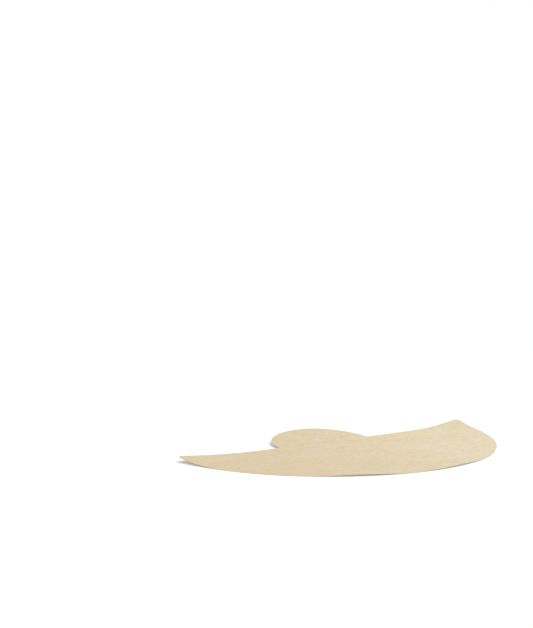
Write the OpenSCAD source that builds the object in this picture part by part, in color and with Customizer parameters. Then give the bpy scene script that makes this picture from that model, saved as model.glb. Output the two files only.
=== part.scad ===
// Half-moon paper coffee filter: a single flat half disc of unbleached paper with a
// small half-round tab in the middle of its straight edge. It lies with its front flat
// on the table, while the back, both sides and the right corner curl up and the round rim
// waves a little.
// In use it is folded into a cone, with the centre of both circles as its tip.

/* [Outline] */
// Radius of the half disc
disc_radius = 150; // [120:1:180]
// Radius of the half-round tab, which has the same centre
tab_radius = 46.5; // [25:0.5:70]
// Rounding of the two corners
corner_radius = 5; // [1:0.5:10]
// Fillet where the tab meets the straight edge
neck_fillet = 3; // [1:0.5:8]
// Thickness of the paper
paper_thickness = 0.2; // [0.1:0.05:0.4]

/* [Back curl] */
// Direction in which the back rises, in degrees from the straight edge
back_curl_heading = 78; // [60:1:120]
// How far in front of the centre the sheet starts to rise
back_curl_reach = 50; // [20:1:70]
// Radius that the back is bent to
back_curl_radius = 750; // [400:10:2000]

/* [Right curl] */
// Direction in which the right side rises, in degrees from the straight edge
right_curl_heading = -17; // [-40:1:30]
// How far in from the corner, along the straight edge, the side starts to rise
right_curl_reach = 57; // [20:1:90]
// Radius that the right side is bent to
right_curl_radius = 620; // [300:10:1500]

/* [Right corner turn-up] */
// Direction in which the right corner turns up, in degrees from the straight edge
tip_curl_heading = 65; // [40:1:75]
// How far in from the corner, along the straight edge, it starts to turn up
tip_curl_reach = 50; // [20:1:80]
// Radius that the right corner is bent to
tip_curl_radius = 70; // [60:5:500]

/* [Left curl] */
// Direction in which the left side rises, in degrees from the straight edge
left_curl_heading = 128; // [110:1:180]
// How far in from the corner, along the straight edge, the side starts to rise
left_curl_reach = 85; // [20:1:110]
// Radius that the left side is bent to
left_curl_radius = 325; // [150:5:1000]

/* [Rim waves] */
// Height of the soft waves in the front of the rim
wave_height = 1.3; // [0:0.1:3]
// Number of waves
wave_count = 2; // [1:1:3]
// Angle round the rim from the left corner to the first wave
wave_start = 49; // [20:1:60]
// Angle round the rim that each wave takes
wave_angle = 36; // [20:1:40]
// How far in from the rim the waves reach
wave_reach = 45; // [15:1:70]

/* [Hidden] */
$fn = 180;

// Colour of the unbleached paper
paper_colour = [0.83, 0.70, 0.55];

// Largest width of the flat facets that the curled paper is made of
facet = 7;

// Width of the paper that is left round the outline until it is cut
trim = 6;

// How far the cutter reaches below the front of the paper, and above the table
cutter_depth = 1;
cutter_height = 80;

// How far a rounding arc crosses the edges that it runs into
lap = 0.01;

// Each curl is its heading, the distance from the centre at which it starts, and its radius
curls = [
    [back_curl_heading, -back_curl_reach, back_curl_radius],
    side_curl(right_curl_heading, right_curl_reach, right_curl_radius),
    side_curl(tip_curl_heading, tip_curl_reach, tip_curl_radius),
    side_curl(left_curl_heading, left_curl_reach, left_curl_radius)
];

// Curl whose starting line crosses the straight edge at that reach from the corner
function side_curl(heading, reach, radius) =
    [heading, (disc_radius - reach) * abs(cos(heading)), radius];

// Lift of a curl at a point of the table: past its starting line the paper bends along an arc
function curl_lift(curl, p) =
    let (past = max(0, p * [cos(curl[0]), sin(curl[0])] - curl[1]))
    curl[2] * (1 - cos(past / curl[2] * 180 / PI));

// Lift of the rim waves, which start and end level and fade out towards the centre
function wave_lift(p) =
    let (
        waves = (atan2(p.y, p.x) + 180 - wave_start) / wave_angle,
        fade = max(0, norm(p) - disc_radius + wave_reach) / wave_reach
    )
    waves > 0 && waves < wave_count ? wave_height * pow(sin(180 * waves) * fade, 2) : 0;

// Height of the paper's underside over the table
function lift(p) = wave_lift(p) + [for (curl = curls) curl_lift(curl, p)] * [for (curl = curls) 1];

// Even positions from low to high, no further apart than a facet
function positions(low, high) =
    let (count = ceil((high - low) / facet))
    [for (i = [0:count]) low + (high - low) * i / count];

// The two triangles of a four-sided cell
function halves(a, b, c, d) = [[a, b, c], [a, c, d]];

// Curled paper before it is cut, as a grid of points in rows from front to back. The bends
// are so gentle that the top lies straight above the underside.
module curled_paper() {
    across = positions(-disc_radius - trim, disc_radius + trim);
    back = positions(-disc_radius - trim, tab_radius + trim);
    columns = len(across);
    rows = len(back);
    layer = rows * columns;

    underside = [for (y = back, x = across) [x, y, lift([x, y])]];
    topside = [for (point = underside) point + [0, 0, paper_thickness]];

    underside_faces = [
        for (row = [0:rows - 2], column = [0:columns - 2])
            let (corner = row * columns + column)
            each halves(corner, corner + 1, corner + columns + 1, corner + columns)
    ];
    topside_faces = [for (face = underside_faces) [face[2], face[1], face[0]] + [layer, layer, layer]];

    border = concat(
        [for (column = [0:columns - 2]) column],
        [for (row = [0:rows - 2]) row * columns + columns - 1],
        [for (column = [columns - 1:-1:1]) (rows - 1) * columns + column],
        [for (row = [rows - 1:-1:1]) row * columns]
    );
    border_faces = [
        for (i = [0:len(border) - 1])
            let (a = border[i], b = border[(i + 1) % len(border)])
            each halves(a, a + layer, b + layer, b)
    ];

    polyhedron(
        points = concat(underside, topside),
        faces = concat(underside_faces, topside_faces, border_faces),
        convexity = 4
    );
}

// The flat outline, centred on the point that becomes the tip of the cone
module outline() {
    difference() {
        union() {
            half_disc();
            circle(tab_radius);
            for (side = [0, 1]) mirror([side, 0]) neck();
        }
        for (side = [0, 1]) mirror([side, 0]) corner_waste();
    }
}

module half_disc() {
    difference() {
        circle(disc_radius);
        translate([-disc_radius - trim, 0]) square([2 * (disc_radius + trim), disc_radius + trim]);
    }
}

// Fillet between the tab and the right straight edge: its arc runs into both
module neck() {
    arc_centre = [sqrt(pow(tab_radius + neck_fillet, 2) - pow(neck_fillet, 2)), neck_fillet];
    touch = arc_centre * tab_radius / (tab_radius + neck_fillet);
    difference() {
        polygon([
            arc_centre,
            touch,
            [touch.x - neck_fillet, 0],
            [touch.x - neck_fillet, -neck_fillet],
            [arc_centre.x, -neck_fillet]
        ]);
        translate(arc_centre) circle(neck_fillet + lap);
    }
}

// What is cut off the right corner: its arc runs into the rim and the straight edge
module corner_waste() {
    arc_centre = [sqrt(pow(disc_radius - corner_radius, 2) - pow(corner_radius, 2)), -corner_radius];
    outside = arc_centre * (disc_radius + corner_radius) / (disc_radius - corner_radius);
    difference() {
        polygon([
            arc_centre,
            outside,
            [disc_radius + corner_radius, corner_radius],
            [arc_centre.x, corner_radius]
        ]);
        translate(arc_centre) circle(corner_radius + lap);
    }
}

// The cut sheet, with the origin on the table under the middle of its outline
module filter_sheet() {
    color(paper_colour)
        translate([0, (disc_radius - tab_radius) / 2, 0])
            intersection() {
                curled_paper();
                translate([0, 0, -cutter_depth])
                    linear_extrude(cutter_depth + cutter_height) outline();
            }
}

filter_sheet();
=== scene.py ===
import math
import bmesh
import bpy
from mathutils import Matrix, Vector, noise


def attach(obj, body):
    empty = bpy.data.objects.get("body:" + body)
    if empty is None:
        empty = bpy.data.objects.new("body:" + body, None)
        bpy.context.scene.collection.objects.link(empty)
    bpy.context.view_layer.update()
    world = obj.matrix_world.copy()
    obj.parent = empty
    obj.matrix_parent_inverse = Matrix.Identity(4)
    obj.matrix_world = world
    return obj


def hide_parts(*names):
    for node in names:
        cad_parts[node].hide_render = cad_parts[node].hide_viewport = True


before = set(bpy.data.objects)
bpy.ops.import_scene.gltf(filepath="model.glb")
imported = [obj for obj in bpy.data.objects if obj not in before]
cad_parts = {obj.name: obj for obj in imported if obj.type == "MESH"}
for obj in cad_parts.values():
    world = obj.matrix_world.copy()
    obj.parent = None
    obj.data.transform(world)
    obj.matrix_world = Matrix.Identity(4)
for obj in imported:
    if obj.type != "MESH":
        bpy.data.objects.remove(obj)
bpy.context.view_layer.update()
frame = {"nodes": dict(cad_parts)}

print("frame loaded, nodes:", ", ".join(frame["nodes"]))


# Camera: standing in front and to the left, looking a little down over the filter
camera = {
    "place": (-0.90073, -1.22035, 0.27137),  # metres
    "heading": 33.438,  # degrees from +Y towards +X
    "lookDown": 5.739,  # degrees
    "lens": 103.18,  # mm
    "sensor": 36,  # mm
    "clipStart": 0.05,  # metres
    "clipEnd": 200,
}


def addCamera():
    data = bpy.data.cameras.new("camera")
    data.lens = camera["lens"]
    data.sensor_width = camera["sensor"]
    data.clip_start = camera["clipStart"]
    data.clip_end = camera["clipEnd"]
    made = bpy.data.objects.new("camera", data)
    made.location = camera["place"]
    made.rotation_euler = (
        math.radians(90 - camera["lookDown"]), 0, math.radians(-camera["heading"]))
    bpy.context.collection.objects.link(made)
    bpy.context.scene.camera = made


addCamera()
print("camera placed")


# Small helpers for node trees
def newTree(owner):
    owner.use_nodes = True
    owner.node_tree.nodes.clear()
    return owner.node_tree


def addNode(tree, kind, inputs=None, **settings):
    # An input is named by its label or its number, and takes a value or another node's output
    node = tree.nodes.new(kind)
    for name, value in settings.items():
        setattr(node, name, value)
    for label, value in (inputs or {}).items():
        if isinstance(value, bpy.types.NodeSocket):
            tree.links.new(value, node.inputs[label])
        else:
            node.inputs[label].default_value = value
    return node


def maths(tree, operation, a, b=0.0, clamp=False):
    return addNode(
        tree, "ShaderNodeMath", {0: a, 1: b}, operation=operation, use_clamp=clamp).outputs[0]


def opaque(colour):
    return (*colour, 1)


white = opaque((1, 1, 1))


def seenDirectly(tree):
    # 1 for rays from the camera and for those that come off gloss or through glass
    rays = addNode(tree, "ShaderNodeLightPath").outputs
    mirrored = maths(tree, "MAXIMUM", rays["Is Glossy Ray"], rays["Is Transmission Ray"])
    return maths(tree, "MAXIMUM", rays["Is Camera Ray"], mirrored)


# Studio: white background, soft even light, and two soft lamps on the right
studio = {
    "skyLight": 0.505,  # share of the light that comes evenly from all round
    "farLampPower": 1.38,
    "farLampHeight": 62,  # degrees above the table
    "farLampHeading": 105,  # degrees from +Y towards +X
    "farLampSoftness": 30,  # degrees across
    "nearLampPower": 1.2,  # watts
    "nearLampPlace": (0.4, -0.1, 0.25),  # metres
    "nearLampSize": 0.3,
    "nearLampTint": (0.48, 0.7, 1.0),
    "floorSize": 60,  # metres
    "floorTone": (0.8, 0.8, 0.8),
    "floorGlow": 0.3,  # lifts the floor that the camera sees to white
}


def addWorld():
    world = bpy.data.worlds.new("studio")
    bpy.context.scene.world = world
    tree = newTree(world)
    light = addNode(
        tree, "ShaderNodeBackground", {"Color": white, "Strength": studio["skyLight"]})
    background = addNode(tree, "ShaderNodeBackground", {"Color": white, "Strength": 1.0})
    mixed = addNode(tree, "ShaderNodeMixShader", {
        0: seenDirectly(tree), 1: light.outputs[0], 2: background.outputs[0]})
    addNode(tree, "ShaderNodeOutputWorld", {"Surface": mixed.outputs[0]})


def addLamps():
    data = bpy.data.lights.new("farLamp", "SUN")
    data.energy = studio["farLampPower"]
    data.angle = math.radians(studio["farLampSoftness"])
    far = bpy.data.objects.new("farLamp", data)
    far.rotation_euler = (
        math.radians(studio["farLampHeight"] - 90), 0, math.radians(-studio["farLampHeading"]))
    bpy.context.collection.objects.link(far)

    data = bpy.data.lights.new("nearLamp", "AREA")
    data.energy = studio["nearLampPower"]
    data.size = studio["nearLampSize"]
    data.color = studio["nearLampTint"]
    near = bpy.data.objects.new("nearLamp", data)
    near.location = studio["nearLampPlace"]
    near.rotation_euler = (-near.location).to_track_quat("-Z", "Y").to_euler()
    near.visible_camera = False
    bpy.context.collection.objects.link(near)


def addFloor():
    bm = bmesh.new()
    bmesh.ops.create_grid(bm, x_segments=1, y_segments=1, size=studio["floorSize"] / 2)
    mesh = bpy.data.meshes.new("floor")
    bm.to_mesh(mesh)
    bm.free()
    floor = bpy.data.objects.new("floor", mesh)
    bpy.context.collection.objects.link(floor)

    material = bpy.data.materials.new("floorWhite")
    tree = newTree(material)
    matt = addNode(tree, "ShaderNodeBsdfDiffuse", {"Color": opaque(studio["floorTone"])})
    glow = addNode(tree, "ShaderNodeEmission", {
        "Color": white, "Strength": maths(tree, "MULTIPLY", seenDirectly(tree), studio["floorGlow"])})
    both = addNode(tree, "ShaderNodeAddShader", {0: matt.outputs[0], 1: glow.outputs[0]})
    addNode(tree, "ShaderNodeOutputMaterial", {"Surface": both.outputs[0]})
    mesh.materials.append(material)


addWorld()
addLamps()
addFloor()
print("studio set up")


# Paper: fibrous, unbleached and matt. Sizes are in millimetres, colours are linear.
paper = {
    "tan": (0.713, 0.536, 0.291),
    "plain": (0.734, 0.588, 0.374),
    "cream": (0.753, 0.636, 0.456),
    "tanToCream": (0.4, 0.6),  # levels of the noise below which it is all tan, and above all cream
    "grainStretch": 2.0,  # how much longer the blotches and fibres are along the grain
    "cloudSize": 24,
    "cloudShare": 0.15,  # of the formation, which is flocs for the rest
    "flocSize": 3.4,
    "flocRoughness": 0.9,
    "flocDepth": 0.04,
    "fibreSpread": 2.6,
    "longFibreSpread": 3.64,
    "fibreWidth": 0.09,
    "fibreWander": 1.2,
    "fibreGapSpread": 1.7,  # times the spread of the fibres
    "fibreGaps": 0.56,  # more of it leaves fewer and shorter fibres
    "fibreTone": (0.64, 0.45, 0.22),
    "fibreStrength": 0.5,
    "speckSpread": 7.5,
    "speckSize": 0.32,
    "speckShare": 0.35,
    "speckTone": (0.42, 0.26, 0.12),
    "speckStrength": 0.6,
    "feltSize": 0.7,
    "feltDepth": 0.05,
    "roughness": (0.8, 0.95),
    "gloss": 0.3,
    # Cut edge: darker tan fibres and paler cream ones, the cream also lightened as a painted
    # highlight along the lit cut edge
    "edgeTan": (0.66, 0.50, 0.31),
    "edgeCreamAndHighlight": (0.80, 0.71, 0.54),
    "edgeTanToCream": (0.38, 0.6),
    "edgeFibreSize": 0.8,
    "edgeDepth": 0.05,
    "edgeRoughness": 0.95,
    "edgeGloss": 0.2,
}

mmPerMetre = 1000
middleLevel = 0.5  # of Blender's noise, which runs from 0 to 1


def noiseOf(tree, place, size, detail=2.0, roughness=0.5, distortion=0.0, shift=(0, 0, 0)):
    # Noise whose blotches are about size millimetres across
    moved = addNode(tree, "ShaderNodeMapping", {
        "Vector": place, "Location": shift, "Scale": (1 / paper["grainStretch"], 1, 1)})
    return addNode(tree, "ShaderNodeTexNoise", {
        "Vector": moved.outputs[0], "Scale": mmPerMetre / size, "Detail": detail,
        "Roughness": roughness, "Distortion": distortion}).outputs[0]


def mixColours(tree, share, under, over):
    # The mix node has its share at 0 and its two colours at 6 and 7, and gives a colour at 2
    return addNode(
        tree, "ShaderNodeMix", {0: share, 6: under, 7: opaque(over)}, data_type="RGBA").outputs[2]


def rampOf(tree, value, stops):
    ramp = addNode(tree, "ShaderNodeValToRGB", {"Fac": value})
    points = ramp.color_ramp.elements
    while len(points) < len(stops):
        points.new(middleLevel)
    for point, (position, colour) in zip(points, stops):
        point.position = position
        point.color = opaque(colour)
    return ramp.outputs[0]


def fineLines(tree, place, spread, shift):
    # Thin wandering lines where a noise crosses its middle, broken up into short fibres
    wander = noiseOf(
        tree, place, spread, detail=1.0, distortion=paper["fibreWander"], shift=shift)
    offLine = maths(tree, "ABSOLUTE", maths(tree, "SUBTRACT", wander, middleLevel))
    halfLine = paper["fibreWidth"] / spread
    line = maths(tree, "SUBTRACT", 1.0, maths(tree, "DIVIDE", offLine, halfLine), clamp=True)
    gaps = noiseOf(tree, place, spread * paper["fibreGapSpread"], shift=(shift[1], shift[0], 0.3))
    return maths(tree, "MULTIPLY", line, maths(tree, "GREATER_THAN", gaps, paper["fibreGaps"]))


def addSurface(tree, colour, normal):
    shader = addNode(tree, "ShaderNodeBsdfPrincipled", {"Base Color": colour, "Normal": normal})
    addNode(tree, "ShaderNodeOutputMaterial", {"Surface": shader.outputs[0]})
    return shader


def paperMaterial():
    material = bpy.data.materials.new("unbleachedPaper")
    tree = newTree(material)
    place = addNode(tree, "ShaderNodeTexCoord").outputs["Object"]

    # Cloudy formation of the pulp
    clouds = noiseOf(tree, place, paper["cloudSize"])
    flocs = noiseOf(
        tree, place, paper["flocSize"], detail=5.0, roughness=paper["flocRoughness"],
        shift=(0.4, 0.1, 0))
    formation = maths(
        tree, "ADD", maths(tree, "MULTIPLY", clouds, paper["cloudShare"]),
        maths(tree, "MULTIPLY", flocs, 1 - paper["cloudShare"]))
    tanLevel, creamLevel = paper["tanToCream"]
    colour = rampOf(tree, formation, (
        (tanLevel, paper["tan"]), (middleLevel, paper["plain"]), (creamLevel, paper["cream"])))

    # Fibres that lie at the surface, and a few specks of bark
    fibres = maths(
        tree, "MAXIMUM",
        fineLines(tree, place, paper["fibreSpread"], (0.2, 0.7, 0)),
        fineLines(tree, place, paper["longFibreSpread"], (0.9, 0.3, 0)))
    colour = mixColours(
        tree, maths(tree, "MULTIPLY", fibres, paper["fibreStrength"]), colour, paper["fibreTone"])
    cells = addNode(tree, "ShaderNodeTexVoronoi", {
        "Vector": place, "Scale": mmPerMetre / paper["speckSpread"]}).outputs
    inSpot = maths(
        tree, "LESS_THAN", cells["Distance"], paper["speckSize"] / 2 / paper["speckSpread"])
    draw = addNode(tree, "ShaderNodeSeparateColor", {"Color": cells["Color"]}).outputs[0]
    specks = maths(tree, "MULTIPLY", inSpot, maths(tree, "LESS_THAN", draw, paper["speckShare"]))
    colour = mixColours(
        tree, maths(tree, "MULTIPLY", specks, paper["speckStrength"]), colour, paper["speckTone"])

    # Felt surface: fine fibres over the soft hills of the formation
    felt = noiseOf(tree, place, paper["feltSize"], detail=4.0, roughness=0.65)
    hills = addNode(tree, "ShaderNodeBump", {
        "Height": flocs, "Distance": paper["flocDepth"] / mmPerMetre})
    nap = addNode(tree, "ShaderNodeBump", {
        "Height": felt, "Distance": paper["feltDepth"] / mmPerMetre, "Normal": hills.outputs[0]})
    smoothest, roughest = paper["roughness"]
    dullness = addNode(tree, "ShaderNodeMapRange", {
        "Value": felt, "From Min": 0.3, "From Max": 0.7, "To Min": smoothest, "To Max": roughest})

    shader = addSurface(tree, colour, nap.outputs[0])
    tree.links.new(dullness.outputs[0], shader.inputs["Roughness"])
    shader.inputs["Specular IOR Level"].default_value = paper["gloss"]
    return material


def cutEdgeMaterial():
    material = bpy.data.materials.new("cutPaperEdge")
    tree = newTree(material)
    place = addNode(tree, "ShaderNodeTexCoord").outputs["Object"]
    torn = noiseOf(tree, place, paper["edgeFibreSize"], detail=3.0, roughness=0.7)
    tanLevel, creamLevel = paper["edgeTanToCream"]
    # Tan and cream fibres on the cut edge; the cream is partly a painted highlight
    colour = rampOf(
        tree, torn, ((tanLevel, paper["edgeTan"]), (creamLevel, paper["edgeCreamAndHighlight"])))
    rough = addNode(tree, "ShaderNodeBump", {
        "Height": torn, "Distance": paper["edgeDepth"] / mmPerMetre})
    shader = addSurface(tree, colour, rough.outputs[0])
    shader.inputs["Roughness"].default_value = paper["edgeRoughness"]
    shader.inputs["Specular IOR Level"].default_value = paper["edgeGloss"]
    return material


# Filter sheet, in millimetres from the centre that the half disc and its tab share
sheet = {
    "discRadius": 150,
    "tabRadius": 46.5,
    "cornerRadius": 5,
    "neckFillet": 3,
    "thickness": 0.2,
    "sliceWidth": 2.5,  # spacing of the cuts along which the paper can bend
    "sliceSnap": 0.02,  # a cut goes through the points that are as near to it as this
    "leastArcSteps": 4,
    "mergeDistance": 0.001,
    "curls": (  # heading in degrees, distance at which the curl starts, radius of the bend
        (78, -50, 750),
        (-17, 88.94, 620),
        (65, 42.26, 70),
        (128, 40.02, 325),
    ),
    "waveHeight": 1.3,
    "waveCount": 2,
    "waveStart": 49,  # degrees round the rim from the left corner
    "waveAngle": 36,  # degrees that each wave takes
    "waveReach": 45,
    "cockleHeight": 0.3,  # faint unevenness of paper that has lain about
    "cockleWidth": 34,
    "cockleLayer": 20,  # another number gives other hollows
    "edgeSlope": 0.5,  # faces whose normals point up or down by less than this are cut edge
    "sharpAngle": 40,  # degrees
}


def drawArc(bm, pen, centre, turn):
    # Spins the vertex pen round the centre and gives back the new end of the line
    length = (pen.co - Vector(centre)).length * abs(turn)
    steps = max(sheet["leastArcSteps"], math.ceil(length / sheet["sliceWidth"]))
    spun = bmesh.ops.spin(
        bm, geom=[pen], cent=centre, axis=(0, 0, 1), angle=turn, steps=steps, use_duplicate=False)
    return [part for part in spun["geom_last"] if isinstance(part, bmesh.types.BMVert)][0]


def drawLine(bm, pen, end):
    grown = bmesh.ops.extrude_vert_indiv(bm, verts=[pen])["verts"]
    bmesh.ops.translate(bm, verts=grown, vec=Vector(end) - pen.co)
    return grown[0]


def drawOutline(bm):
    disc, tab = sheet["discRadius"], sheet["tabRadius"]
    corner, fillet = sheet["cornerRadius"], sheet["neckFillet"]
    cornerCentre = (math.sqrt((disc - corner) ** 2 - corner ** 2), -corner, 0)
    neckCentre = (math.sqrt((tab + fillet) ** 2 - fillet ** 2), fillet, 0)
    cornerAngle = math.atan2(corner, cornerCentre[0])
    neckAngle = math.atan2(fillet, neckCentre[0])
    quarter = math.pi / 2

    # Right half, from the front of the rim to the back of the tab
    pen = bm.verts.new((0, -disc, 0))
    pen = drawArc(bm, pen, (0, 0, 0), quarter - cornerAngle)
    pen = drawArc(bm, pen, cornerCentre, quarter + cornerAngle)
    pen = drawLine(bm, pen, (neckCentre[0], 0, 0))
    pen = drawArc(bm, pen, neckCentre, neckAngle - quarter)
    pen = drawArc(bm, pen, (0, 0, 0), quarter - neckAngle)

    near = sheet["mergeDistance"]
    bmesh.ops.mirror(bm, geom=bm.verts[:] + bm.edges[:], matrix=Matrix(), merge_dist=near, axis="X")
    bmesh.ops.remove_doubles(bm, verts=bm.verts[:], dist=near)
    bmesh.ops.contextual_create(bm, geom=bm.edges[:])


def slicePaper(bm):
    # Cuts both ways across the flat paper, so that it can bend smoothly
    step = sheet["sliceWidth"]
    count = math.ceil(sheet["discRadius"] / step)
    for direction in (Vector((1, 0, 0)), Vector((0, 1, 0))):
        for place in range(-count, count):
            bmesh.ops.bisect_plane(
                bm, geom=bm.verts[:] + bm.edges[:] + bm.faces[:], dist=sheet["sliceSnap"],
                plane_co=direction * (place + 0.5) * step, plane_no=direction)


def liftAt(x, y):
    # Height of the paper over the table
    lift = 0
    for heading, start, radius in sheet["curls"]:
        angle = math.radians(heading)
        past = max(0, x * math.cos(angle) + y * math.sin(angle) - start)
        lift += radius * (1 - math.cos(past / radius))
    waves = (math.degrees(math.atan2(y, x)) + 180 - sheet["waveStart"]) / sheet["waveAngle"]
    if 0 < waves < sheet["waveCount"]:
        reach = sheet["waveReach"]
        fade = max(0, math.hypot(x, y) - sheet["discRadius"] + reach) / reach
        lift += sheet["waveHeight"] * (math.sin(math.pi * waves) * fade) ** 2
    cockle = noise.noise(Vector((x, y, sheet["cockleLayer"])) / sheet["cockleWidth"])
    return lift + sheet["cockleHeight"] * (cockle + 1) / 2


def makeSheet():
    bm = bmesh.new()
    drawOutline(bm)
    slicePaper(bm)
    for vert in bm.verts:
        vert.co.z = liftAt(vert.co.x, vert.co.y)
    lowest = min(vert.co.z for vert in bm.verts)
    bmesh.ops.translate(bm, verts=bm.verts[:], vec=(0, 0, -lowest))

    # The underside is made first and faces down, and the paper gets its thickness above it
    bmesh.ops.recalc_face_normals(bm, faces=bm.faces[:])
    if sum(face.normal.z for face in bm.faces) > 0:
        bmesh.ops.reverse_faces(bm, faces=bm.faces[:])
    bmesh.ops.solidify(bm, geom=bm.faces[:], thickness=sheet["thickness"])
    for face in bm.faces:
        face.smooth = True
        face.material_index = 0 if abs(face.normal.z) > sheet["edgeSlope"] else 1

    # From the centre of the circles to the middle of the outline, and from millimetres to metres
    middle = (sheet["discRadius"] - sheet["tabRadius"]) / 2
    bmesh.ops.translate(bm, verts=bm.verts[:], vec=(0, middle, 0))
    bmesh.ops.scale(bm, verts=bm.verts[:], vec=(1 / mmPerMetre, 1 / mmPerMetre, 1 / mmPerMetre))

    mesh = bpy.data.meshes.new("paperSheet")
    bm.to_mesh(mesh)
    bm.free()
    mesh.set_sharp_from_angle(angle=math.radians(sheet["sharpAngle"]))
    mesh.materials.append(paperMaterial())
    mesh.materials.append(cutEdgeMaterial())
    made = bpy.data.objects.new("paperSheet", mesh)
    bpy.context.collection.objects.link(made)
    return made


paperSheet = makeSheet()
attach(paperSheet, "root")
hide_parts("filter_sheet")
print("paper sheet made,", len(paperSheet.data.polygons), "faces")


# View settings
bpy.context.scene.view_settings.view_transform = "Standard"
